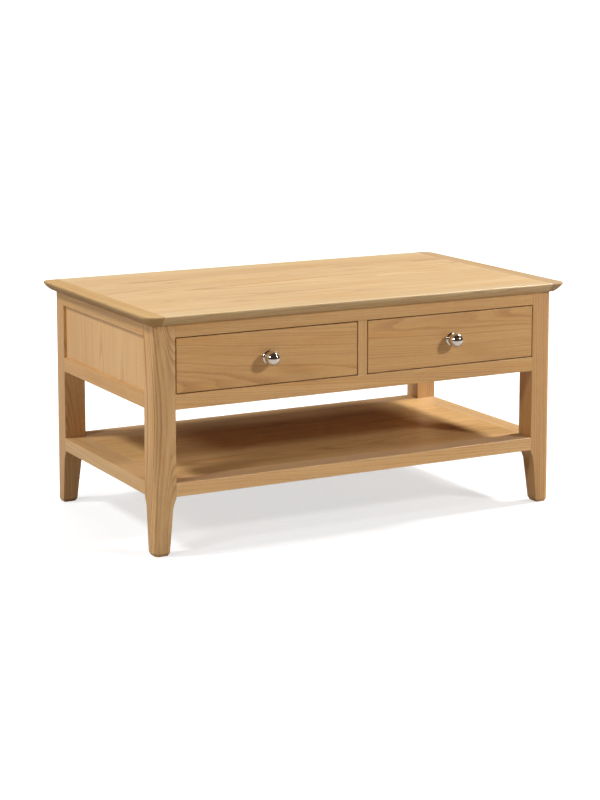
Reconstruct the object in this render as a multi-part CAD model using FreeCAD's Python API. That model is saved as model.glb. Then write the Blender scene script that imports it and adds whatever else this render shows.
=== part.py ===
import FreeCAD, Part
import math
import os

Vector = FreeCAD.Vector

# Oak coffee table with two drawers and a shelf, in millimetres.
# X runs along the table, the drawers open towards -Y, and the origin is on the floor under its middle.

# Whole table
top_length = 936.0
top_depth = 536.0
table_height = 459.0
top_overhang = 23.0

# Table top: a centre panel inside two end pieces and two long edge strips
top_thickness = 20.0
top_frame_width = 38.0
top_corner_radius = 23.0
top_nose_radius = 2.5
top_undercut_width = 21.0
top_tongue_inset = 16.0

# Legs
leg_section = 45.0
leg_corner_radius = 10.0
shoulder_drop = 3.0
shoulder_height = 21.0
shoulder_depth = 7.0
foot_inset = 15.0
foot_bevel = 3.0
foot_bevel_height = 6.0

# Rails and the divider between the drawers
rail_thickness = 22.0
top_rail_height = 25.0
bottom_rail_height = 29.0
drawer_opening_height = 107.5
divider_width = 20.5
divider_shoulder = 5.0
divider_tenon_length = 10.0
tenon_length = 20.0
tenon_shoulder = 7.0
mortise_spare = 0.5
arris = 1.0

# Thin panels in the ends and the back
panel_thickness = 7.0
panel_recess = 6.0
groove_depth = 6.0
panel_play = 1.0

# Shelf, and the tongues that join its boards and the boards of the top
shelf_height = 138.0
shelf_thickness = 26.5
shelf_panel_thickness = 18.0
tongue_length = 8.0
tongue_thickness = 6.0

# Runners below the drawers, guides beside them and kickers above them
runner_height = 20.0
runner_overlap = 25.0
housing_wall = 3.0
guide_height = 20.0

# Drawers
drawer_back_room = 48.0
drawer_gap = 1.8
running_clearance = 0.3
drawer_front_thickness = 19.0
drawer_side_thickness = 12.0
drawer_back_thickness = 12.0
drawer_back_drop = 8.0
drawer_back_setback = 10.0
back_housing = 4.0
bottom_thickness = 6.0
bottom_groove = 6.0
bottom_lift = 10.0
dovetail_lap = 6.0

# Drawer stops
stop_width = 30.0
stop_height = 6.0
stop_length = 22.0
stop_inset = 40.0

# Knobs
ball_diameter = 29.5
knob_base_diameter = 27.0
knob_rim_height = 1.2
knob_neck_diameter = 14.0
knob_neck_length = 0.6
knob_flare_height = 2.4

# Screws
screw_diameter = 4.0
screw_clearance = 0.15
screw_head_diameter = 8.0
screw_head_height = 2.6
knob_screw_bite = 8.0
top_screw_bite = 10.0
counterbore_depth = 5.0

# Shares and counts
quarter_turn_share = math.sqrt(0.5)
undercut_pull_share = 0.24
shoulder_mid_share = 0.64
flare_mid_share = 0.3
dovetail_count = 3
dovetail_tail_share = 0.68
dovetail_slope_share = 0.14
top_screw_shares = (-0.75, 0.0, 0.75)
parallel_share = 0.99

# Angles, in degrees
quarter_turn = 90
full_turn = 360

# Past this distance a cut runs out of the wood
overrun = 5.0

# Planes that several pieces share
half_length = top_length / 2 - top_overhang
half_depth = top_depth / 2 - top_overhang
leg_line_x = half_length - leg_section
leg_line_y = half_depth - leg_section
top_underside = table_height - top_thickness
opening_top = top_underside - top_rail_height
opening_bottom = opening_top - drawer_opening_height
rail_underside = opening_bottom - bottom_rail_height
shelf_underside = shelf_height - shelf_thickness
runner_housing = rail_thickness - panel_recess - panel_thickness - housing_wall

top_rail_heights = (opening_top, top_underside)
bottom_rail_heights = (rail_underside, opening_bottom)
shelf_heights = (shelf_underside, shelf_height)
LEFT, RIGHT = -1, 1
FRONT, BACK = -1, 1
X_AXIS = Vector(1, 0, 0)
Y_AXIS = Vector(0, 1, 0)
Z_AXIS = Vector(0, 0, 1)


def block(xs, ys, zs):
    """A box between two limits on each axis, given in either order."""
    pairs = (xs, ys, zs)
    sizes = [abs(high - low) for low, high in pairs]
    return Part.makeBox(*sizes, Vector(*[min(pair) for pair in pairs]))


def along(axis, reach, cross, heights):
    """A box that runs along X or along Y."""
    if axis == X_AXIS:
        return block(reach, cross, heights)
    return block(cross, reach, heights)


def brought_in(pair, amount):
    """A pair of limits drawn in by the same amount at both ends."""
    return (min(pair) + amount, max(pair) - amount)


def centred(size, middle=0):
    """A pair of limits about a middle."""
    return (middle - size / 2, middle + size / 2)


def joined(*solids):
    """One piece of wood from several shapes, with no seams left on its faces."""
    return solids[0].multiFuse(list(solids[1:])).removeSplitter()


def runs_along(edge, axis):
    """Whether an edge is straight and parallel to an axis."""
    if edge.Curve.TypeId != "Part::GeomLine":
        return False
    return abs(edge.Curve.Direction.dot(axis)) > parallel_share


def eased(solid, axis):
    """The solid with its edges along one axis rounded over."""
    return solid.makeFillet(arris, [edge for edge in solid.Edges if runs_along(edge, axis)])


def all_at(edge, measure):
    """Whether every corner of an edge gives zero for a measure."""
    return all(abs(measure(vertex.Point)) < Part.Precision.confusion() for vertex in edge.Vertexes)


def face_of(edges):
    """A flat face inside a ring of edges given in order."""
    return Part.Face(Part.Wire(edges))


def outline(points):
    """A flat face inside straight lines through the points."""
    return Part.Face(Part.makePolygon(points + points[:1]))


def cylinder(radius, foot, length, axis):
    """A round bar that starts at a foot and runs along an axis."""
    return Part.makeCylinder(radius, length, foot, axis)


def rail_between_legs(axis, cross, heights, length):
    """A rail with a tenon at each end, and a bar that cuts both of its mortises."""
    line = leg_line_x if axis == X_AXIS else leg_line_y
    body = eased(along(axis, (-line, line), cross, heights), axis)
    tenon_cross = brought_in(cross, tenon_shoulder)
    tenon_heights = brought_in(heights, tenon_shoulder)
    reach = line + length
    tenons = along(axis, (-reach, reach), tenon_cross, tenon_heights)
    depth = reach + mortise_spare
    mortises = along(axis, (-depth, depth), tenon_cross, tenon_heights)
    return joined(body, tenons), mortises


def framed_panel(axis, cross):
    """A thin panel between two rails and two legs, and the groove that holds its edges."""
    line = leg_line_x if axis == X_AXIS else leg_line_y
    shapes = []
    for depth in (groove_depth - panel_play, groove_depth):
        reach = (-line - depth, line + depth)
        shapes.append(along(axis, reach, cross, (opening_bottom - depth, opening_top + depth)))
    return shapes


def leg_outline(side, end, height, inset, bevel):
    """A leg's section at one height: a big round on the outer corner and small ones on the others."""
    inner_x = leg_line_x + inset + bevel
    inner_y = leg_line_y + inset + bevel
    outer_x = half_length - bevel
    outer_y = half_depth - bevel
    corners = (
        (outer_x, outer_y, leg_corner_radius - bevel, 1, 1),
        (inner_x, outer_y, arris, -1, 1),
        (inner_x, inner_y, arris, -1, -1),
        (outer_x, inner_y, arris, 1, -1))
    arcs = []
    for x, y, radius, out_x, out_y in corners:
        centre = (x - out_x * radius, y - out_y * radius)
        shares = ((out_x, 0), (out_x * quarter_turn_share, out_y * quarter_turn_share), (0, out_y))
        points = [Vector(side * (centre[0] + radius * along_x), end * (centre[1] + radius * along_y), height)
                  for along_x, along_y in shares]
        arcs.append(points if out_x == out_y else points[::-1])
    edges = []
    for number, arc in enumerate(arcs):
        edges.append(Part.Arc(*arc).toShape())
        edges.append(Part.makeLine(arc[2], arcs[(number + 1) % len(arcs)][0]))
    return Part.Wire(edges)


def leg(side, end):
    """A square post whose two inner faces hollow in below the shelf, taper down and end in a bevel."""
    hollow_top = shelf_underside - shoulder_drop
    hollow_bottom = hollow_top - shoulder_height
    bevel_inset = foot_inset - (foot_inset - shoulder_depth) * foot_bevel_height / hollow_bottom
    post = leg_outline(side, end, top_underside, 0, 0)
    start = leg_outline(side, end, hollow_top, 0, 0)
    middle = leg_outline(side, end, (hollow_top + hollow_bottom) / 2, shoulder_depth * shoulder_mid_share, 0)
    finish = leg_outline(side, end, hollow_bottom, shoulder_depth, 0)
    ankle = leg_outline(side, end, foot_bevel_height, bevel_inset, 0)
    sole = leg_outline(side, end, 0, foot_inset, foot_bevel)
    return joined(
        Part.makeLoft([post, start], True, True),
        Part.makeLoft([start, middle, finish], True, False),
        Part.makeLoft([finish, ankle], True, True),
        Part.makeLoft([ankle, sole], True, True))


def edge_section(place, half, inner):
    """The top's section from an inner line to its edge: rounded over, then cut back in a wide curve."""
    nose = table_height - top_nose_radius
    bend = top_nose_radius * (1 - quarter_turn_share)
    back = half - top_undercut_width
    over = place(half - top_nose_radius, table_height)
    over_mid = place(half - bend, table_height - bend)
    tip = place(half, nose)
    under = place(back, top_underside)
    undercut = Part.BezierCurve()
    undercut.setPoles([tip, place(half, nose + (top_underside - nose) * undercut_pull_share),
                       place(back + top_undercut_width * undercut_pull_share, top_underside), under])
    corners = [under, place(inner, top_underside), place(inner, table_height), over]
    lines = [Part.makeLine(one, two) for one, two in zip(corners, corners[1:])]
    return face_of([Part.Arc(over, over_mid, tip).toShape(), undercut.toShape()] + lines)


def shaped_slab(place, half, push):
    """A slab pushed along one way of the table, with the shaped edge on both of its sides."""
    halves = []
    for sign in (1, -1):
        section = edge_section(lambda across, height: place(sign * across, height), half, 0)
        halves.append(section.extrude(push))
    return joined(*halves)


def top_blank():
    """The whole top before it is parted into boards: shaped edges that meet in rounded corners."""
    slab = shaped_slab(lambda across, height: Vector(-top_length, across, height), top_depth / 2,
                       Vector(2 * top_length, 0, 0))
    slab = slab.common(shaped_slab(lambda across, height: Vector(across, -top_depth, height), top_length / 2,
                                   Vector(0, 2 * top_depth, 0)))
    centre_x = top_length / 2 - top_corner_radius
    centre_y = top_depth / 2 - top_corner_radius
    heights = (top_underside - overrun, table_height + overrun)
    corners = []
    for side in (LEFT, RIGHT):
        for end in (FRONT, BACK):
            square = block((side * centre_x, side * top_length), (end * centre_y, end * top_depth), heights)
            slab = slab.cut(square)
            middle = Vector(side * centre_x, end * centre_y, 0)
            section = edge_section(lambda across, height: middle + Vector(side * across, 0, height),
                                   top_corner_radius, -top_undercut_width)
            outer = block((side * centre_x, side * top_length), centred(overrun, end * centre_y), heights)
            corners.append(section.common(outer).revolve(middle, Z_AXIS, side * end * quarter_turn))
    return joined(slab, *corners)


def tongue_heights(top_face, thickness):
    """The heights of a tongue in the middle of a board's thickness."""
    return centred(tongue_thickness, top_face - thickness / 2)


def top_boards():
    """The five boards of the top, parted from one blank and tongued together."""
    blank = top_blank()
    inner_x = top_length / 2 - top_frame_width
    inner_y = top_depth / 2 - top_frame_width
    heights = (top_underside - overrun, table_height + overrun)
    levels = tongue_heights(table_height, top_thickness)
    tongue_x = inner_x + tongue_length
    tongue_y = inner_y + tongue_length
    strip_end = top_depth / 2 - top_tongue_inset
    panel_tongues = block((-tongue_x, tongue_x), (-tongue_y, tongue_y), levels)
    strip_tongues = block((-tongue_x, tongue_x), (-strip_end, strip_end), levels)
    boards = {"top_panel": joined(
        blank.common(block((-inner_x, inner_x), (-inner_y, inner_y), heights)), panel_tongues)}
    for end, name in ((FRONT, "top_edge_front"), (BACK, "top_edge_back")):
        space = block((-inner_x, inner_x), (end * inner_y, end * top_depth), heights)
        reach = block((-top_length, top_length), (end * inner_y, end * top_depth), heights)
        boards[name] = joined(blank.common(space), strip_tongues.common(reach)).cut(panel_tongues)
    for side, name in ((LEFT, "top_end_left"), (RIGHT, "top_end_right")):
        space = block((side * inner_x, side * top_length), (-top_depth, top_depth), heights)
        boards[name] = blank.common(space).cut(strip_tongues)
    return boards


def shelf_boards():
    """The shelf's panel and its frame of four rails, with the bars that cut the frame's mortises."""
    length = tenon_shoulder - 2 * mortise_spare
    levels = tongue_heights(shelf_height, shelf_panel_thickness)
    panel = block((-leg_line_x, leg_line_x), (-leg_line_y, leg_line_y),
                  (shelf_height - shelf_panel_thickness, shelf_height))
    tongues = [
        block((-leg_line_x - tongue_length, leg_line_x + tongue_length), (-leg_line_y, leg_line_y), levels),
        block((-leg_line_x, leg_line_x), (-leg_line_y - tongue_length, leg_line_y + tongue_length), levels)]
    boards = {"shelf_panel": joined(panel, *tongues)}
    mortises = []
    for name, axis, outer, line in (
            ("shelf_front_rail", X_AXIS, FRONT * half_depth, FRONT * leg_line_y),
            ("shelf_back_rail", X_AXIS, BACK * half_depth, BACK * leg_line_y),
            ("shelf_end_left", Y_AXIS, LEFT * half_length, LEFT * leg_line_x),
            ("shelf_end_right", Y_AXIS, RIGHT * half_length, RIGHT * leg_line_x)):
        rail, bars = rail_between_legs(axis, (outer, line), shelf_heights, length)
        boards[name] = rail.cut(boards["shelf_panel"])
        mortises.append(bars)
    return boards, mortises


def drawer_support(heights, side):
    """A runner or kicker between the front and back rails, notched round a back leg at the ends."""
    ends = (-leg_line_y - runner_housing, half_depth - rail_thickness + runner_housing)
    if side == 0:
        return block(centred(divider_width + 2 * runner_overlap), ends, heights)
    inner = side * (leg_line_x - runner_overlap)
    wide = block((side * (half_length - rail_thickness), inner), (-leg_line_y, leg_line_y), heights)
    return joined(wide, block((side * leg_line_x, inner), ends, heights))


def drawer_guide(side):
    """A strip on a runner that keeps a drawer's side in line."""
    heights = (opening_bottom, opening_bottom + guide_height)
    if side == 0:
        return block(centred(divider_width), (-leg_line_y, half_depth - rail_thickness), heights)
    outer = half_length - rail_thickness
    return block((side * outer, side * leg_line_x), (-leg_line_y, leg_line_y), heights)


def screw(foot, direction, length):
    """A round-headed screw: the head's seat is at the foot, and the shank runs along the direction."""
    shank = cylinder(screw_diameter / 2, foot, length, direction)
    head = cylinder(screw_head_diameter / 2, foot, screw_head_height, direction.negative())
    crown_point = foot - direction * screw_head_height
    crown = [edge for edge in head.Edges if all_at(edge, lambda point: (point - crown_point).dot(direction))]
    return joined(shank, head.makeFillet(screw_head_height / 2, crown))


def screw_hole(foot, direction, length):
    """The hole for a screw's shank, a little wider and longer than the shank."""
    return cylinder(screw_diameter / 2 + screw_clearance, foot, length + mortise_spare, direction)


def dovetails(outer, inner, heights, root, tip):
    """The tails on a drawer side's end, wider at their tips than at their roots."""
    pitch = (max(heights) - min(heights)) / dovetail_count
    tip_half = pitch * dovetail_tail_share / 2
    root_half = tip_half - abs(tip - root) * dovetail_slope_share
    tails = []
    for number in range(dovetail_count):
        middle = min(heights) + pitch * number + pitch / 2
        corners = [(root, -root_half), (root, root_half), (tip, tip_half), (tip, -tip_half)]
        face = outline([Vector(outer, depth, middle + rise) for depth, rise in corners])
        tails.append(face.extrude(Vector(inner - outer, 0, 0)))
    return tails


def knob(middle_x, middle_z):
    """A ball on a short neck that flares out to a round base, with a blind hole for its screw."""
    ball = ball_diameter / 2
    neck = knob_neck_diameter / 2
    base = knob_base_diameter / 2
    seat = knob_flare_height + knob_neck_length
    ball_reach = seat + math.sqrt(ball ** 2 - neck ** 2)

    def place(radius, reach):
        return Vector(middle_x + radius, -half_depth - reach, middle_z)

    flare_mid = place(neck + (base - neck) * flare_mid_share,
                      knob_rim_height + (knob_flare_height - knob_rim_height) * flare_mid_share)
    corners = [place(0, ball_reach + ball), place(0, 0), place(base, 0), place(base, knob_rim_height)]
    edges = [Part.makeLine(one, two) for one, two in zip(corners, corners[1:])]
    edges.append(Part.Arc(corners[3], flare_mid, place(neck, knob_flare_height)).toShape())
    edges.append(Part.makeLine(place(neck, knob_flare_height), place(neck, seat)))
    edges.append(Part.Arc(place(neck, seat), place(ball, ball_reach), corners[0]).toShape())
    turned = face_of(edges).revolve(place(0, 0), Y_AXIS, full_turn)
    return turned.cut(screw_hole(place(0, 0), Y_AXIS.negative(), knob_screw_bite))


def drawer(side, name):
    """One drawer: a front dovetailed to two sides, a housed back, a bottom in grooves and its knob."""
    left = side * divider_width / 2 if side == RIGHT else side * leg_line_x
    right = side * leg_line_x if side == RIGHT else side * divider_width / 2
    xs = brought_in((left, right), drawer_gap)
    front_heights = brought_in((opening_bottom, opening_top), drawer_gap)
    side_heights = (opening_bottom + running_clearance, front_heights[1])
    face = -half_depth
    inside = face + drawer_front_thickness
    tail = half_depth - rail_thickness - drawer_back_room
    back_ys = (tail - drawer_back_setback - drawer_back_thickness, tail - drawer_back_setback)
    middle_x = (left + right) / 2
    middle_z = (opening_bottom + opening_top) / 2
    floor_heights = (side_heights[0] + bottom_lift, side_heights[0] + bottom_lift + bottom_thickness)

    inner_xs = brought_in(xs, drawer_side_thickness)
    bottom = block(brought_in(inner_xs, -bottom_groove), (inside - bottom_groove, back_ys[1]), floor_heights)
    back_heights = (floor_heights[1], side_heights[1] - drawer_back_drop)
    back = block(brought_in(inner_xs, -back_housing), back_ys, back_heights)
    front = block(xs, (face, inside), front_heights)
    rim = [edge for edge in front.Edges if all_at(edge, lambda point: point.y - face)]
    front = front.makeFillet(arris, rim).cut(bottom)

    pieces = {}
    for outer, inner, hand in ((xs[0], inner_xs[0], "left"), (xs[1], inner_xs[1], "right")):
        tails = dovetails(outer, inner, front_heights, inside, face + dovetail_lap)
        board = eased(block((outer, inner), (inside, tail), side_heights), Y_AXIS)
        pieces[f"drawer_{name}_side_{hand}"] = joined(board, *tails).cut(bottom).cut(back)
        front = front.cut(Part.makeCompound(tails))

    seat = Vector(middle_x, inside, middle_z)
    outward = Y_AXIS.negative()
    screw_length = drawer_front_thickness + knob_screw_bite
    pieces[f"drawer_{name}_front"] = front.cut(screw_hole(seat, outward, screw_length))
    pieces[f"drawer_{name}_back"] = back
    pieces[f"drawer_{name}_bottom"] = bottom
    pieces[f"knob_{name}"] = knob(middle_x, middle_z)
    pieces[f"knob_screw_{name}"] = screw(seat, outward, screw_length)
    return pieces


def drawer_stops():
    """Two small blocks behind each drawer front, on the front bottom rail."""
    start = -half_depth + drawer_front_thickness + running_clearance
    stops = []
    for side in (LEFT, RIGHT):
        for near in (divider_width / 2 + stop_inset, leg_line_x - stop_inset - stop_width):
            stops.append(block((side * near, side * (near + stop_width)), (start, start + stop_length),
                               (opening_bottom, opening_bottom + stop_height)))
    return Part.makeCompound(stops)


nodes = {}

# Front, back and side rails, with the mortises that they need in the legs
leg_cuts = []
front_cross = (FRONT * half_depth, FRONT * leg_line_y)
back_cross = (BACK * half_depth, BACK * (half_depth - rail_thickness))
for place, axis, cross in (
        ("front", X_AXIS, front_cross),
        ("back", X_AXIS, back_cross),
        ("left", Y_AXIS, (LEFT * half_length, LEFT * (half_length - rail_thickness))),
        ("right", Y_AXIS, (RIGHT * half_length, RIGHT * (half_length - rail_thickness)))):
    for level, heights in (("top", top_rail_heights), ("bottom", bottom_rail_heights)):
        rail, mortises = rail_between_legs(axis, cross, heights, tenon_length)
        nodes[f"{place}_{level}_rail"] = rail
        leg_cuts.append(mortises)

# Thin panels, let into grooves in the rails and the legs
panel_face = half_depth - panel_recess
panel_side = half_length - panel_recess
for place, axis, cross in (
        ("back", X_AXIS, (panel_face, panel_face - panel_thickness)),
        ("left", Y_AXIS, (-panel_side, -panel_side + panel_thickness)),
        ("right", Y_AXIS, (panel_side, panel_side - panel_thickness))):
    panel, groove = framed_panel(axis, cross)
    nodes[f"{place}_panel"] = panel
    leg_cuts.append(groove)
    for level in ("top", "bottom"):
        nodes[f"{place}_{level}_rail"] = nodes[f"{place}_{level}_rail"].cut(groove)

# Divider between the drawers, with a stub tenon in each front rail
divider_body = eased(block(centred(divider_width), front_cross, (opening_bottom, opening_top)), Z_AXIS)
divider_tenons = block(
    brought_in(centred(divider_width), divider_shoulder), brought_in(front_cross, tenon_shoulder),
    (opening_bottom - divider_tenon_length, opening_top + divider_tenon_length))
nodes["drawer_divider"] = joined(divider_body, divider_tenons)
for level in ("top", "bottom"):
    nodes[f"front_{level}_rail"] = nodes[f"front_{level}_rail"].cut(divider_tenons)

# Runners, guides and kickers, housed in the front and back rails
for place, side in (("left", LEFT), ("centre", 0), ("right", RIGHT)):
    runner = drawer_support((opening_bottom - runner_height, opening_bottom), side)
    kicker = drawer_support(top_rail_heights, side)
    for end in ("front", "back"):
        nodes[f"{end}_bottom_rail"] = nodes[f"{end}_bottom_rail"].cut(runner)
        nodes[f"{end}_top_rail"] = nodes[f"{end}_top_rail"].cut(kicker)
    nodes[f"drawer_runner_{place}"] = runner
    nodes[f"drawer_guide_{place}"] = drawer_guide(side)
    nodes[f"drawer_kicker_{place}"] = kicker
nodes["drawer_stops"] = drawer_stops()

# Shelf, and then the legs with every mortise and groove
shelf, shelf_mortises = shelf_boards()
nodes.update(shelf)
leg_cuts.extend(shelf_mortises)
for end, end_name in ((FRONT, "front"), (BACK, "back")):
    for side, side_name in ((LEFT, "left"), (RIGHT, "right")):
        nodes[f"leg_{end_name}_{side_name}"] = leg(side, end).cut(leg_cuts)

# Top boards, held by screws that sit in counterbores in the kickers
nodes.update(top_boards())
top_screws = []
top_screw_length = top_rail_height - counterbore_depth + top_screw_bite
support_middle = (half_length - rail_thickness + leg_line_x - runner_overlap) / 2
for place, side in (("left", LEFT), ("centre", 0), ("right", RIGHT)):
    for share in top_screw_shares:
        seat = Vector(side * support_middle, share * leg_line_y, opening_top + counterbore_depth)
        hole = screw_hole(seat, Z_AXIS, top_screw_length)
        bore = cylinder(screw_head_diameter / 2 + mortise_spare, seat, counterbore_depth, Z_AXIS.negative())
        nodes[f"drawer_kicker_{place}"] = nodes[f"drawer_kicker_{place}"].cut([hole, bore])
        nodes["top_panel"] = nodes["top_panel"].cut(hole)
        top_screws.append(screw(seat, Z_AXIS, top_screw_length))
nodes["top_screws"] = Part.makeCompound(top_screws)

# Drawers
nodes.update(drawer(LEFT, "left"))
nodes.update(drawer(RIGHT, "right"))

os.makedirs("parts", exist_ok=True)
for name, shape in nodes.items():
    shape.exportStep(f"parts/{name}.step")
    print(name, len(shape.Solids), shape.isValid(), round(shape.Volume))
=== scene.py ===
import math
import bpy
from mathutils import Matrix, Vector


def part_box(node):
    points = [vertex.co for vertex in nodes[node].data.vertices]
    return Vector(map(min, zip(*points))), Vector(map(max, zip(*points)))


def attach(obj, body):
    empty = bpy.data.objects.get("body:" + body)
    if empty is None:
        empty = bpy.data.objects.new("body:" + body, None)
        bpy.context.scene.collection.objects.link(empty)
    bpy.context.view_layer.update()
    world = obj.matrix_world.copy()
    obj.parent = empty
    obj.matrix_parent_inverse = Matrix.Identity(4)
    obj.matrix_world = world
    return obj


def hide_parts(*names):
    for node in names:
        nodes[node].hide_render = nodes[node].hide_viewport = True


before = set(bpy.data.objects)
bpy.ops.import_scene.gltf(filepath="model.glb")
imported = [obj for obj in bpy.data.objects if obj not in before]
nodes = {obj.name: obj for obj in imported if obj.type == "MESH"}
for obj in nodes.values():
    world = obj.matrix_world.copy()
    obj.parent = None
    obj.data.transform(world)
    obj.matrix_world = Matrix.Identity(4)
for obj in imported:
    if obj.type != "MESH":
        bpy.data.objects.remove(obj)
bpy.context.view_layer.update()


# Table top
# Five oak boards lie flush: a centre panel glued up from staves, a cross-grain piece at each end and a long strip at
# the front and at the back. They are tongued and glued together, sanded as one and given a satin lacquer.

def feed(tree, socket, source):
    """Links a socket to another one, or sets its plain value."""
    if isinstance(source, Amount):
        source = source.socket
    if isinstance(source, bpy.types.NodeSocket):
        tree.links.new(source, socket)
    else:
        socket.default_value = source


def wire(tree, kind, feeds=(), **options):
    """Adds a node with its options, and feeds its inputs in order, or by name or number."""
    node = tree.nodes.new(kind if kind.startswith(("GeometryNode", "FunctionNode")) else "ShaderNode" + kind)
    for option, value in options.items():
        setattr(node, option, value)
    for name, source in feeds.items() if isinstance(feeds, dict) else enumerate(feeds):
        feed(tree, node.inputs[name], source)
    return node


class Amount:
    """A number that changes over a surface. Sums with it become math nodes."""

    def __init__(self, tree, socket):
        self.tree = tree
        self.socket = socket

    def rule(self, name, *others):
        return Amount(self.tree, wire(self.tree, "Math", (self, *others), operation=name).outputs[0])

    def __add__(self, other):
        return self.rule("ADD", other)

    def __sub__(self, other):
        return self.rule("SUBTRACT", other)

    def __mul__(self, other):
        return self.rule("MULTIPLY", other)

    def __truediv__(self, other):
        return self.rule("DIVIDE", other)

    def rise(self, low, high):
        """Runs smoothly from nought at the low value to one at the high value."""
        return Amount(self.tree, wire(self.tree, "MapRange", {0: self, 1: low, 2: high},
                                      interpolation_type="SMOOTHSTEP").outputs[0])


def parts_of(tree, kind, socket):
    """The three numbers in a vector or a colour."""
    return [Amount(tree, output) for output in wire(tree, kind, (socket,)).outputs[:3]]


def noise(tree, place, stretch, detail=2.0):
    """Smooth noise with its own number of waves to the metre on each axis: one value and three channels."""
    stretched = wire(tree, "VectorMath", (place, stretch), operation="MULTIPLY").outputs[0]
    texture = wire(tree, "TexNoise", {"Vector": stretched, "Scale": 1.0, "Detail": detail})
    return Amount(tree, texture.outputs[0]), parts_of(tree, "SeparateColor", texture.outputs[1])


def blend(tree, share, one, two, kind="MIX"):
    """Mixes two colours by a share of the second."""
    return wire(tree, "Mix", {0: share, 6: one, 7: two}, data_type="RGBA", blend_type=kind).outputs[2]


def new_group(name, inputs, outputs):
    """A shader group with named inputs at their usual values, and named outputs."""
    tree = bpy.data.node_groups.new(name, "ShaderNodeTree")
    kinds = {1: "NodeSocketFloat", 3: "NodeSocketVector", 4: "NodeSocketColor"}
    for label, value in inputs.items():
        size = len(value) if isinstance(value, tuple) else 1
        tree.interface.new_socket(label, in_out="INPUT", socket_type=kinds[size]).default_value = value
    for label, size in outputs.items():
        tree.interface.new_socket(label, in_out="OUTPUT", socket_type=kinds[size])
    return tree, tree.nodes.new("NodeGroupInput").outputs, tree.nodes.new("NodeGroupOutput").inputs


def oak_grain():
    """Oak as a solid: growth rings round a heart that runs along the board, with pores, fibres and rays."""
    tree, given, result = new_group(
        "oak grain",
        {"Place": (0.0, 0.0, 0.0), "Seed": 0.0, "Stave": 2.0, "Mixed": 0.0, "Heart": 0.1, "Side": 0.2, "Lean": 0.01,
         "Tilt": 0.03, "Bow": 0.0, "Ring": 0.003, "Wander": 0.006, "Figure": 0.8, "Spread": 0.15, "Tone": 0.0,
         "Pale": (0.71, 0.442, 0.18, 1.0), "Dark": (0.43, 0.216, 0.069, 1.0)},
        {"Color": 4, "Roughness": 1, "Height": 1})
    x, y, z = parts_of(tree, "SeparateXYZ", given["Place"])
    stave = Amount(tree, given["Stave"])
    number = (y / stave + 0.5).rule("FLOOR")
    pick = wire(tree, "CombineXYZ", (number, given["Seed"])).outputs[0]
    draw = wire(tree, "TexWhiteNoise", {"Vector": pick}, noise_dimensions="2D").outputs[1]
    first, second, third = parts_of(tree, "SeparateColor", draw)

    # The heart lies to one side and some way down, leans, tilts and bows along the board. Staves are mixed at random
    mixed = Amount(tree, given["Mixed"])
    side = y - number * stave + (first - 0.5) * stave * 1.3 * mixed + given["Side"]
    side = side + x * given["Lean"] * (third * -2.0 * mixed + 1.0)
    deep = z + ((second * second * 3.0 - 0.5) * mixed + 1.0) * given["Heart"]
    deep = deep + x * given["Tilt"] * (second * -2.0 * mixed + 1.0) + x * x * given["Bow"]
    cut = wire(tree, "CombineXYZ", (x + third * 7.0 + Amount(tree, given["Seed"]), side, deep)).outputs[0]
    wander = Amount(tree, given["Wander"])
    long_wave = noise(tree, cut, (1.7, 9.0, 9.0), 1.5)[1]
    short_wave = noise(tree, cut, (8.0, 45.0, 45.0), 2.0)[1]
    across = side + ((long_wave[0] - 0.5) * 2.6 + (short_wave[0] - 0.5) * 0.4) * wander
    down = deep + ((long_wave[1] - 0.5) * 2.6 + (short_wave[1] - 0.5) * 0.4) * wander
    radius = (across * across + down * down).rule("SQRT")

    # A ring starts with a dark band of open pores and pales towards its late wood
    slow = Amount(tree, wire(tree, "TexNoise", {"W": radius * 42.0, "Scale": 1.0, "Detail": 1.0},
                             noise_dimensions="1D").outputs[0])
    age = radius / given["Ring"] + slow * 5.0
    strength = Amount(tree, wire(tree, "TexWhiteNoise", {"W": age.rule("FLOOR")}, noise_dimensions="1D").outputs[0])
    within = age.rule("FRACT")
    early = within.rise(0.0, 0.12) * (within.rise(0.16, 0.8) * -1.0 + 1.0) * (strength * 0.75 + 0.25)

    fibre = noise(tree, cut, (14.0, 700.0, 700.0), 3.0)[0]
    streak = noise(tree, cut, (2.6, 95.0, 95.0), 2.0)[0]
    broad = noise(tree, cut, (1.2, 7.0, 7.0), 1.0)[0]
    pores = noise(tree, cut, (170.0, 2300.0, 2300.0), 1.0)[0].rise(0.56, 0.68) * (early * 0.85 + 0.12)
    turn = down.rule("ARCTAN2", across)
    ray_place = wire(tree, "CombineXYZ", (x * 70.0, radius * 22.0, turn * 130.0)).outputs[0]
    rays = Amount(tree, wire(tree, "TexNoise", {"Vector": ray_place, "Scale": 1.0, "Detail": 1.0}).outputs[0])
    rays = rays.rise(0.62, 0.74)

    shade = early * 0.5 + (fibre - 0.5) * 0.5 + (streak - 0.5) * 0.75 + (broad - 0.5) * 0.55 - 0.1
    shade = shade * given["Figure"] + (first - 0.5) * given["Spread"] + given["Tone"] + 0.4
    wood = blend(tree, shade.rule("MAXIMUM", 0.0).rule("MINIMUM", 1.0), given["Pale"], given["Dark"])
    warm = noise(tree, cut, (4.0, 30.0, 30.0), 2.0)[0].rise(0.48, 0.75)
    wood = blend(tree, warm * 0.7, wood, (1.0, 0.9, 0.7, 1.0), "MULTIPLY")
    wood = blend(tree, rays * 0.22, wood, given["Pale"])
    wood = blend(tree, pores * 0.5, wood, (0.16, 0.085, 0.04, 1.0))
    feed(tree, result["Color"], wood)
    feed(tree, result["Roughness"], early * 0.1 + fibre * 0.1 + pores * 0.15 + 0.36)
    feed(tree, result["Height"], fibre * 0.25 - early * 0.2 - pores * 0.8)
    return tree


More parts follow.
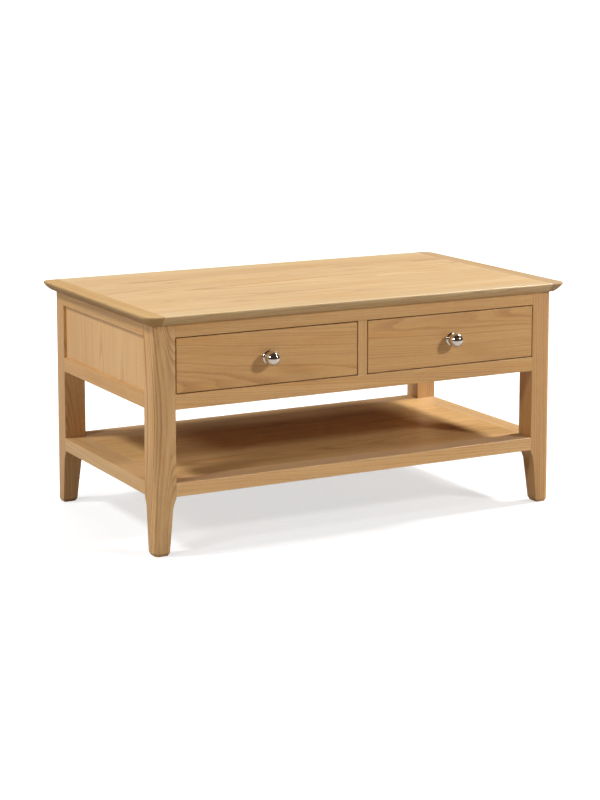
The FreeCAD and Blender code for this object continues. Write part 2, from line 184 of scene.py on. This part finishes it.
def edge_wear_and_light():
    """A mask of the sharp edges of a piece, broken into patches as hands and dusters leave wear. The same mask
    carries a painted highlight along some arrises and painted shade in some gaps.
    """
    tree, given, result = new_group("edge wear and light", {"Width": 0.001}, {"Mask": 1})
    rounded = wire(tree, "Bevel", {"Radius": given["Width"]}, samples=4).outputs[0]
    flat = tree.nodes.new("ShaderNodeNewGeometry").outputs["Normal"]
    meet = Amount(tree, wire(tree, "VectorMath", (rounded, flat), operation="DOT_PRODUCT").outputs["Value"])
    place = tree.nodes.new("ShaderNodeTexCoord").outputs["Object"]
    patches = noise(tree, place, (60.0, 60.0, 60.0), 3.0)[0]
    feed(tree, result["Mask"], (meet * -1.0 + 1.0).rise(0.02, 0.22) * patches.rise(0.3, 0.6))
    return tree


OAK_GRAIN = oak_grain()
EDGE_WEAR_AND_LIGHT = edge_wear_and_light()
AXES = {"X": Vector((1, 0, 0)), "Y": Vector((0, 1, 0)), "Z": Vector((0, 0, 1))}


def placed_group(tree, group, **values):
    """A shader group in a material, with its own values."""
    node = tree.nodes.new("ShaderNodeGroup")
    node.node_tree = group
    for label, value in values.items():
        feed(tree, node.inputs[label], value)
    return node.outputs


def shades(red, green, blue):
    """The pale and the dark of an oak board, tinted board by board. A tint is partly the board's own tone and partly
    painted light and shade, making a board paler or darker as light falls on it.
    """
    tint = (red, green, blue, 1.0)
    sockets = OAK_GRAIN.interface.items_tree
    return {label: tuple(a * b for a, b in zip(sockets[label].default_value, tint)) for label in ("Pale", "Dark")}


def oak(node, lay, seed, edge=(0.74, 0.53, 0.31, 1.0), edge_share=0.35, edge_width=0.0012, sheen=0.1, coat=0.2,
        gloss=0.5, dull=0.0, **cut):
    """Gives a board its own cut of lacquered oak. The lay names the axes along and across its grain."""
    material = bpy.data.materials.new("oak_" + node)
    material.use_nodes = True
    tree = material.node_tree
    shader = tree.nodes["Principled BSDF"]
    low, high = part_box(node)
    along, across = AXES[lay[0]], AXES[lay[1]]
    turn = Matrix((along, across, along.cross(across)))
    coordinates = tree.nodes.new("ShaderNodeTexCoord").outputs["Object"]
    place = wire(tree, "Mapping", {"Vector": coordinates, "Location": -(turn @ ((low + high) / 2)),
                                   "Rotation": turn.to_euler()}).outputs[0]
    grain = placed_group(tree, OAK_GRAIN, Place=place, Seed=float(seed), **cut)
    # The edge colour goes on the sharp edges. Most boards get paler sanded wear there. The top and shelf boards get a
    # painted highlight along their arrises, the drawer fronts get painted shade in their gap, and the top panel gets
    # dark joint lines.
    mask = Amount(tree, placed_group(tree, EDGE_WEAR_AND_LIGHT, Width=edge_width)["Mask"])
    feed(tree, shader.inputs["Base Color"], blend(tree, mask * edge_share, grain["Color"], edge))
    feed(tree, shader.inputs["Roughness"], Amount(tree, grain["Roughness"]) - mask * 0.06 + dull)
    bump = wire(tree, "Bump", {"Strength": 0.35, "Distance": 0.0003, "Height": grain["Height"]})
    feed(tree, shader.inputs["Normal"], bump.outputs[0])
    shader.inputs["Specular IOR Level"].default_value = gloss
    shader.inputs["Coat Weight"].default_value = coat
    shader.inputs["Coat Roughness"].default_value = 0.18
    shader.inputs["Sheen Weight"].default_value = sheen
    shader.inputs["Sheen Roughness"].default_value = 0.3
    nodes[node].material_slots[0].material = material


# The top's boards get a wide pale edge colour, which is a painted highlight along their arrises. It also shows as
# pale lines at the joints between the boards. The figure on these boards is milder too.
painted_highlight_edge = {"edge": (0.86, 0.66, 0.42, 1.0), "edge_share": 0.6, "edge_width": 0.003, "Figure": 0.65}
# The long strips and the centre panel are tinted paler and cooler than the ends. Part of this is their own tone, and
# part is a painted sheen of the lacquer.
long_oak = {**painted_highlight_edge, "sheen": 0.2, "coat": 0.4, "gloss": 0.25, "dull": 0.1, **shades(0.82, 0.98, 1.3)}
cross_oak = {**painted_highlight_edge, "sheen": 0.0, "coat": 0.05, "gloss": 0.1, "dull": 0.1}
oak("top_panel", "XY", 3, edge=(0.4, 0.22, 0.09, 1.0), edge_share=0.5, sheen=0.28, coat=0.05, gloss=0.2, dull=0.15,
    Stave=0.088, Mixed=1.0, Heart=0.04, Side=0.0, Lean=0.02, Figure=0.9, **shades(0.7, 0.775, 0.935))
oak("top_edge_front", "XY", 11, **long_oak)
oak("top_edge_back", "XY", 12, **long_oak)
oak("top_end_left", "YX", 13, **cross_oak, **shades(0.65, 0.715, 0.835))
# The right end is tinted darker and less saturated than the left. This is painted shade that offsets the extra light
# it gets from the right lamp.
oak("top_end_right", "YX", 14, **cross_oak, **shades(0.58, 0.67, 0.96))


# Legs
# Four square oak posts with a rounded outer corner, hollowed and tapered below the shelf on their two inner faces.
# Each is sawn from one thick plank, so its front shows arched figure and its sides straight grain.

oak("leg_front_left", "ZX", 21, Heart=0.057, Side=-0.026, Tilt=0.05, Bow=-0.6, Ring=0.0045, Wander=0.008,
    Figure=1.4, **shades(0.88, 0.87, 0.91))
oak("leg_front_right", "ZX", 22, Side=0.1, **shades(0.95, 0.9, 0.9))
# The far left leg is tinted darker, which is painted shade.
oak("leg_back_left", "ZX", 23, Heart=0.06, Side=0.03, Tilt=0.1, **shades(0.85, 0.82, 0.84))
oak("leg_back_right", "ZX", 24, Side=-0.1)


# Rails and the divider between the drawers
# Oak rails are tenoned into the legs at the front, the back and both ends. The upright divider has a stub tenon in
# each front rail, and all the edges are eased by hand.

for number, place in enumerate(("front", "back")):
    oak(place + "_top_rail", "XZ", 31 + number, **shades(1.04, 1.05, 1.05))
    oak(place + "_bottom_rail", "XZ", 33 + number, Heart=0.06, Side=0.05, Lean=0.03, **shades(1.03, 1.02, 1.02))
for number, place in enumerate(("left", "right")):
    oak(place + "_top_rail", "YZ", 35 + number, **shades(0.95, 0.97, 1.03))
    oak(place + "_bottom_rail", "YZ", 37 + number, sheen=0.3, **shades(0.95, 0.9, 0.82))
oak("drawer_divider", "ZX", 39)


# End and back panels
# Thin oak panels stand in grooves in the rails and the legs, so they can move with the weather. Each is glued up
# from narrow upright staves that differ a little in tone.

glued_up = {"Mixed": 1.0, "Side": 0.0, "Heart": 0.06, "Figure": 0.45, "Spread": 0.12, **shades(1.04, 1.09, 1.24)}
oak("left_panel", "ZY", 41, Stave=0.071, **glued_up)
oak("right_panel", "ZY", 42, Stave=0.071, **glued_up)
oak("back_panel", "ZX", 43, Stave=0.083, **glued_up)


# Shelf
# An oak frame of four rails between the legs holds a glued-up panel on a tongue, flush on top. The long rails run
# with the table, and the ends run across it.

end_oak = {"sheen": 0.3, **shades(1.0, 1.04, 1.12)}
oak("shelf_panel", "XY", 51, Stave=0.1, Mixed=1.0, Heart=0.035, Side=0.0, Lean=0.04, Spread=0.25, Figure=1.0,
    **shades(1.0, 1.03, 1.03))
# The shelf rails get a strong pale edge colour, which is a painted highlight along their arrises. They also get a
# paler tint, which is partly the rails' own tone and partly painted light on the lit front of the shelf.
for number, place in enumerate(("front", "back")):
    oak(f"shelf_{place}_rail", "XY", 52 + number, edge=(0.88, 0.68, 0.43, 1.0), edge_share=0.9, edge_width=0.004,
        sheen=0.5, Figure=0.7, **shades(1.1, 1.12, 1.2))
oak("shelf_end_left", "YX", 54, **end_oak)
oak("shelf_end_right", "YX", 55, **end_oak)


# Drawer fronts
# Each front is one oak board, planed to sit flush in its opening with a narrow gap all round. Its ends are cut for
# the lapped dovetails of the drawer sides.

# The dark edge colour on the fronts paints the shade in the narrow gap round each front.
front_oak = {"edge": (0.12, 0.05, 0.015, 1.0), "edge_share": 0.85, "edge_width": 0.003, "Tone": 0.08,
             "Ring": 0.0042, "Wander": 0.011, "Figure": 0.65, **shades(1.01, 0.98, 0.94)}
oak("drawer_left_front", "XZ", 61, Heart=0.05, Side=0.05, Lean=0.02, Tilt=0.05, **front_oak)
oak("drawer_right_front", "XZ", 62, Heart=0.05, Side=-0.05, Lean=-0.02, Tilt=-0.04, **front_oak)


# Drawer sides, backs and bottoms
# The sides and the back are a paler, plainer wood, sanded and sealed but not lacquered. The bottom is a thin veneered
# sheet in a groove, and it runs on under the back.

plain_wood = {"Pale": (0.71, 0.5, 0.28, 1.0), "Dark": (0.52, 0.32, 0.155, 1.0), "Ring": 0.0045, "Wander": 0.004}
for number, name in enumerate(("left", "right")):
    for count, hand in enumerate(("left", "right")):
        oak(f"drawer_{name}_side_{hand}", "YZ", 71 + 2 * number + count, **plain_wood)
    oak(f"drawer_{name}_back", "XZ", 75 + number, **plain_wood)
    oak(f"drawer_{name}_bottom", "YX", 77 + number, Stave=0.19, Mixed=1.0, Side=0.0, Heart=0.03, **plain_wood)


# Runners, guides, kickers and stops
# Planed strips of the same oak, left without a finish, carry each drawer, keep it straight and stop it from tipping.
# They are housed in the front and back rails, and the small stops are glued to the front rail.

dry_oak = {"Pale": (0.62, 0.405, 0.21, 1.0), "Dark": (0.41, 0.235, 0.105, 1.0)}
for number, place in enumerate(("left", "centre", "right")):
    for count, kind in enumerate(("runner", "guide", "kicker")):
        oak(f"drawer_{kind}_{place}", "YX", 81 + 3 * number + count, **dry_oak)
oak("drawer_stops", "XY", 91, **dry_oak)


# Knobs
# A polished chrome ball on a domed round base, turned from one bar and plated. The base sits on the drawer front, and
# a blind hole in it takes the screw.

def turned(name, profile, sides):
    """A closed mesh turned about its upright axis, from rings of radius and height in order along it."""
    spots, faces = [(0.0, 0.0, profile[0][1])], []
    for radius, height in profile[1:-1]:
        turns = [math.tau * side / sides for side in range(sides)]
        spots += [(radius * math.cos(turn), radius * math.sin(turn), height) for turn in turns]
    spots.append((0.0, 0.0, profile[-1][1]))
    last, rings = len(spots) - 1, len(profile) - 2
    for side in range(sides):
        here, there = 1 + side, 1 + (side + 1) % sides
        faces.append((0, there, here))
        for ring in range(rings - 1):
            low, high = ring * sides, (ring + 1) * sides
            faces.append((here + low, there + low, there + high, here + high))
        top = (rings - 1) * sides
        faces.append((here + top, there + top, last))
    mesh = bpy.data.meshes.new(name)
    mesh.from_pydata(spots, [], faces)
    return mesh


def metal(name, colour, rough, rough_spread, scratch):
    """Polished or plated metal: faint smears change its roughness, and hairlines its surface."""
    material = bpy.data.materials.new(name)
    material.use_nodes = True
    tree = material.node_tree
    shader = tree.nodes["Principled BSDF"]
    place = tree.nodes.new("ShaderNodeTexCoord").outputs["Object"]
    smears = noise(tree, place, (140.0, 90.0, 140.0), 3.0)[0]
    hairs = noise(tree, place, (900.0, 5200.0, 2600.0), 2.0)[0]
    dull = tuple(0.9 * part for part in colour[:3]) + (1.0,)
    feed(tree, shader.inputs["Base Color"], blend(tree, smears.rise(0.35, 0.7), colour, dull))
    feed(tree, shader.inputs["Roughness"], smears.rise(0.3, 0.75) * rough_spread + rough)
    bump = wire(tree, "Bump", {"Strength": scratch, "Distance": 0.00002, "Height": hairs})
    feed(tree, shader.inputs["Normal"], bump.outputs[0])
    shader.inputs["Metallic"].default_value = 1.0
    return material


# The chrome's warm tint is a painted reflection of the warm wood and room round it.
chrome = metal("knob_chrome", (0.79, 0.76, 0.72, 1.0), 0.015, 0.025, 0.02)
ball, ball_reach = 0.01475, 0.01598
base, collar, rim, dome = 0.0139, 0.009, 0.0008, 0.0028
hole, hole_depth = 0.00215, 0.009
dome_steps, ball_steps, knob_sides = 15, 40, 64
knob_profile = [(0.0, hole_depth), (hole, hole_depth), (hole, 0.0), (base, 0.0), (base, rim)]
for step in range(1, dome_steps):
    rise = math.pi / 2 * step / dome_steps
    knob_profile.append((collar + (base - collar) * math.cos(rise), rim + dome * math.sin(rise)))
start = math.asin(collar / ball)
for step in range(ball_steps):
    turn = start + (math.pi - start) * step / ball_steps
    knob_profile.append((ball * math.sin(turn), ball_reach - ball * math.cos(turn)))
knob_profile.append((0.0, ball_reach + ball))
for name in ("left", "right"):
    low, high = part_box("knob_" + name)
    mesh = turned(name + "_knob", knob_profile, knob_sides)
    mesh.transform(Matrix.Translation(((low.x + high.x) / 2, high.y, (low.z + high.z) / 2))
                   @ Matrix.Rotation(math.pi / 2, 4, "X"))
    mesh.shade_smooth()
    mesh.set_sharp_from_angle(angle=math.radians(50))
    mesh.materials.append(chrome)
    knob = bpy.data.objects.new(name + "_knob", mesh)
    bpy.context.scene.collection.objects.link(knob)
    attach(knob, "drawer_" + name)
    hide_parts("knob_" + name)


# Screws
# Plated steel screws with a rolled thread, a domed head and a cross recess. Nine come up through the kickers into the
# top, and one through each drawer front holds its knob.

def screw_blank(name, length, tip):
    """A screw that points up from its seat and has no recess yet. The tip is the length that tapers to its end."""
    shank, thread_start, pitch, thread_depth = 0.002, 0.002, 0.0016, 0.26
    ring_gap, tip_step, sides = 0.0004, 0.2, 20
    dome = [(0.0012, -0.00256), (0.0022, -0.0024), (0.0031, -0.002), (0.0037, -0.00135), (SCREW_HEAD_RADIUS, -0.0005),
            (SCREW_HEAD_RADIUS, -0.0001), (0.0039, 0.0)]
    profile = [(0.0, -SCREW_HEAD)] + dome + [(shank, 0.0)]
    steps = int((length - tip) / ring_gap)
    profile += [(shank, (length - tip) * step / steps) for step in range(1, steps + 1)]
    profile += [(shank * (1.0 - tip_step * step), length - tip + tip * tip_step * step) for step in range(1, 5)]
    profile.append((0.0, length))
    mesh = turned(name, profile, sides)
    for vertex in mesh.vertices:
        if vertex.co.z > thread_start:
            turn = math.atan2(vertex.co.y, vertex.co.x) / math.tau
            root = 1.0 - thread_depth * abs((vertex.co.z / pitch - turn) % 1.0 * 2.0 - 1.0)
            vertex.co.x, vertex.co.y = vertex.co.x * root, vertex.co.y * root
    blank = bpy.data.objects.new(name, mesh)
    bpy.context.scene.collection.objects.link(blank)
    return blank


def screw_tree():
    """Cuts the cross recess in a screw and puts one on each point, turned by chance about its own length."""
    tree = bpy.data.node_groups.new("screws on their seats", "GeometryNodeTree")
    kinds = {"Seats": "Geometry", "Screw": "Object", "Recess Length": "Float", "Recess Width": "Float",
             "Recess Depth": "Float", "Head Height": "Float", "Aim": "Vector", "Seed": "Int", "Plating": "Material"}
    for label, kind in kinds.items():
        tree.interface.new_socket(label, in_out="INPUT", socket_type="NodeSocket" + kind)
    tree.interface.new_socket("Screws", in_out="OUTPUT", socket_type="NodeSocketGeometry")
    given = tree.nodes.new("NodeGroupInput").outputs
    low = wire(tree, "CombineXYZ", {"Z": Amount(tree, given["Head Height"]) * -1.0}).outputs[0]
    high = Amount(tree, given["Recess Depth"]) * 2.0
    blank = wire(tree, "GeometryNodeObjectInfo", {"Object": given["Screw"]}).outputs["Geometry"]
    cut = wire(tree, "GeometryNodeMeshBoolean", {0: blank}, operation="DIFFERENCE", solver="EXACT")
    for first, second in (("Recess Length", "Recess Width"), ("Recess Width", "Recess Length")):
        size = wire(tree, "CombineXYZ", (given[first], given[second], high)).outputs[0]
        bar = wire(tree, "GeometryNodeMeshCube", {"Size": size}).outputs[0]
        moved = wire(tree, "GeometryNodeTransform", {"Geometry": bar, "Translation": low}).outputs[0]
        feed(tree, cut.inputs[1], moved)
    chance = wire(tree, "FunctionNodeRandomValue", {2: 0.0, 3: math.tau, "Seed": given["Seed"]}, data_type="FLOAT")
    spin = wire(tree, "FunctionNodeAxisAngleToRotation", {"Axis": (0.0, 0.0, 1.0), "Angle": chance.outputs[1]})
    aim = wire(tree, "FunctionNodeEulerToRotation", {0: given["Aim"]})
    turned_in = wire(tree, "FunctionNodeRotateRotation", (aim.outputs[0], spin.outputs[0]), rotation_space="LOCAL")
    placed = wire(tree, "GeometryNodeInstanceOnPoints",
                  {"Points": given["Seats"], "Instance": cut.outputs[0], "Rotation": turned_in.outputs[0]}).outputs[0]
    real = wire(tree, "GeometryNodeRealizeInstances", (placed,)).outputs[0]
    done = wire(tree, "GeometryNodeSetMaterial", {"Geometry": real, "Material": given["Plating"]}).outputs[0]
    feed(tree, tree.nodes.new("NodeGroupOutput").inputs[0], done)
    return tree


def screw_set(name, node, body, blank, seats, aim, seed):
    """One mesh of screws on their seats, which takes the place of the plain ones."""
    values = {"Screw": blank, "Recess Length": 0.0046, "Recess Width": 0.0009, "Recess Depth": 0.0015,
              "Head Height": SCREW_HEAD, "Aim": aim, "Seed": seed, "Plating": ZINC}
    points = bpy.data.meshes.new(name + "_seats")
    points.from_pydata(seats, [], [])
    screws = bpy.data.objects.new(name, points)
    bpy.context.scene.collection.objects.link(screws)
    modifier = screws.modifiers.new("screws", "NODES")
    modifier.node_group = SCREW_TREE
    for socket in SCREW_TREE.interface.items_tree:
        if socket.name in values:
            modifier[socket.identifier] = values[socket.name]
    depsgraph = bpy.context.evaluated_depsgraph_get()
    mesh = bpy.data.meshes.new_from_object(screws.evaluated_get(depsgraph), depsgraph=depsgraph)
    screws.modifiers.remove(modifier)
    screws.data = mesh
    bpy.data.meshes.remove(points)
    mesh.name = name
    mesh.shade_smooth()
    mesh.set_sharp_from_angle(angle=math.radians(50))
    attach(screws, body)
    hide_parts(node)


ZINC = metal("screw_zinc", (0.62, 0.61, 0.57, 1.0), 0.22, 0.2, 0.25)
SCREW_HEAD, SCREW_HEAD_RADIUS = 0.0026, 0.004
WOOD_TIP, MACHINE_TIP = 0.007, 0.0006
SCREW_TREE = screw_tree()
low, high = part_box("top_screws")
wood_screw = screw_blank("wood_screw", high.z - low.z - SCREW_HEAD, WOOD_TIP)
seats = [(x, y, low.z + SCREW_HEAD)
         for x in (low.x + SCREW_HEAD_RADIUS, 0.0, high.x - SCREW_HEAD_RADIUS)
         for y in (low.y + SCREW_HEAD_RADIUS, 0.0, high.y - SCREW_HEAD_RADIUS)]
screw_set("screws_under_top", "top_screws", "carcass", wood_screw, seats, (0.0, 0.0, 0.0), 5)
low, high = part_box("knob_screw_left")
machine_screw = screw_blank("machine_screw", high.y - low.y - SCREW_HEAD, MACHINE_TIP)
for seed, name in enumerate(("left", "right")):
    low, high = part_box("knob_screw_" + name)
    seat = ((low.x + high.x) / 2, high.y - SCREW_HEAD, (low.z + high.z) / 2)
    screw_set(name + "_knob_screw", "knob_screw_" + name, "drawer_" + name, machine_screw, [seat],
              (math.pi / 2, 0.0, 0.0), seed)
for blank in (wood_screw, machine_screw):
    bpy.data.objects.remove(blank)


# Studio
# A white floor in a dark room, with a strong small soft box high on the right and weaker ones all round.
# The camera stands where the photograph was taken from.

def studio_floor():
    """A wide white floor that fades to pure white away from the table. It throws back less light than it shows."""
    size, level = 150.0, -0.0004
    mesh = bpy.data.meshes.new("floor")
    corners = [(-size, -size, level), (size, -size, level), (size, size, level), (-size, size, level)]
    mesh.from_pydata(corners, [], [(0, 1, 2, 3)])
    floor = bpy.data.objects.new("floor", mesh)
    bpy.context.scene.collection.objects.link(floor)
    material = bpy.data.materials.new("floor_paper")
    material.use_nodes = True
    tree = material.node_tree
    tree.nodes.clear()
    place = tree.nodes.new("ShaderNodeTexCoord").outputs["Object"]
    away = Amount(tree, wire(tree, "VectorMath", (place,), operation="LENGTH").outputs["Value"]).rise(0.5, 2.5)
    lit = wire(tree, "BsdfDiffuse", {"Color": (0.4, 0.4, 0.4, 1.0)}).outputs[0]
    glow = wire(tree, "Emission", {"Color": (1.0, 1.0, 1.0, 1.0), "Strength": away * 0.4 + 0.65}).outputs[0]
    seen = wire(tree, "AddShader", (lit, glow)).outputs[0]
    thrown = wire(tree, "BsdfDiffuse", {"Color": (0.36, 0.33, 0.3, 1.0)}).outputs[0]
    to_camera = tree.nodes.new("ShaderNodeLightPath").outputs["Is Camera Ray"]
    mixed = wire(tree, "MixShader", (to_camera, thrown, seen)).outputs[0]
    wire(tree, "OutputMaterial", {"Surface": mixed})
    mesh.materials.append(material)


def studio_room(colour):
    """A dim warm room all round, and white where the camera sees past the floor."""
    world = bpy.data.worlds.new("studio")
    world.use_nodes = True
    bpy.context.scene.world = world
    tree = world.node_tree
    tree.nodes.clear()
    dim = wire(tree, "Background", {"Color": colour, "Strength": 1.0}).outputs[0]
    white = wire(tree, "Background", {"Color": (1.0, 1.0, 1.0, 1.0), "Strength": 1.2}).outputs[0]
    to_camera = tree.nodes.new("ShaderNodeLightPath").outputs["Is Camera Ray"]
    wire(tree, "OutputWorld", {"Surface": wire(tree, "MixShader", (to_camera, dim, white)).outputs[0]})


def soft_box(name, place, size, power):
    """A square soft light turned towards the table."""
    lamp = bpy.data.lights.new(name, "AREA")
    lamp.shape = "SQUARE"
    lamp.size, lamp.energy = size, power
    holder = bpy.data.objects.new(name, lamp)
    holder.location = place
    table_middle = Vector((0.0, 0.0, 0.3))
    holder.rotation_euler = (table_middle - Vector(place)).to_track_quat("-Z", "Y").to_euler()
    holder.visible_camera = False
    bpy.context.scene.collection.objects.link(holder)


studio_floor()
studio_room((0.06, 0.04, 0.03, 1.0))
soft_box("right_box", (4.7, 0.0, 5.63), 0.95, 700.0)
soft_box("left_box", (-4.294, 1.15, 5.5), 1.0, 310.0)
soft_box("front_right_box", (2.885, -3.206, 2.4), 0.5, 118.0)
soft_box("low_left_box", (-2.7, -0.98, 1.7), 0.4, 28.0)
soft_box("back_box", (0.0, 1.9, 2.87), 1.0, 18.0)

lens = bpy.data.cameras.new("camera")
lens.lens, lens.sensor_width, lens.shift_y = 91.196, 36.0, -0.18
lens.clip_end = 400.0
camera = bpy.data.objects.new("camera", lens)
camera.location = (-1.94415, -3.60735, 1.07616)
camera.rotation_euler = (math.radians(90 - 7.8542), 0.0, math.radians(-28.2399))
bpy.context.scene.collection.objects.link(camera)
bpy.context.scene.camera = camera
bpy.context.scene.view_settings.view_transform = "Standard"
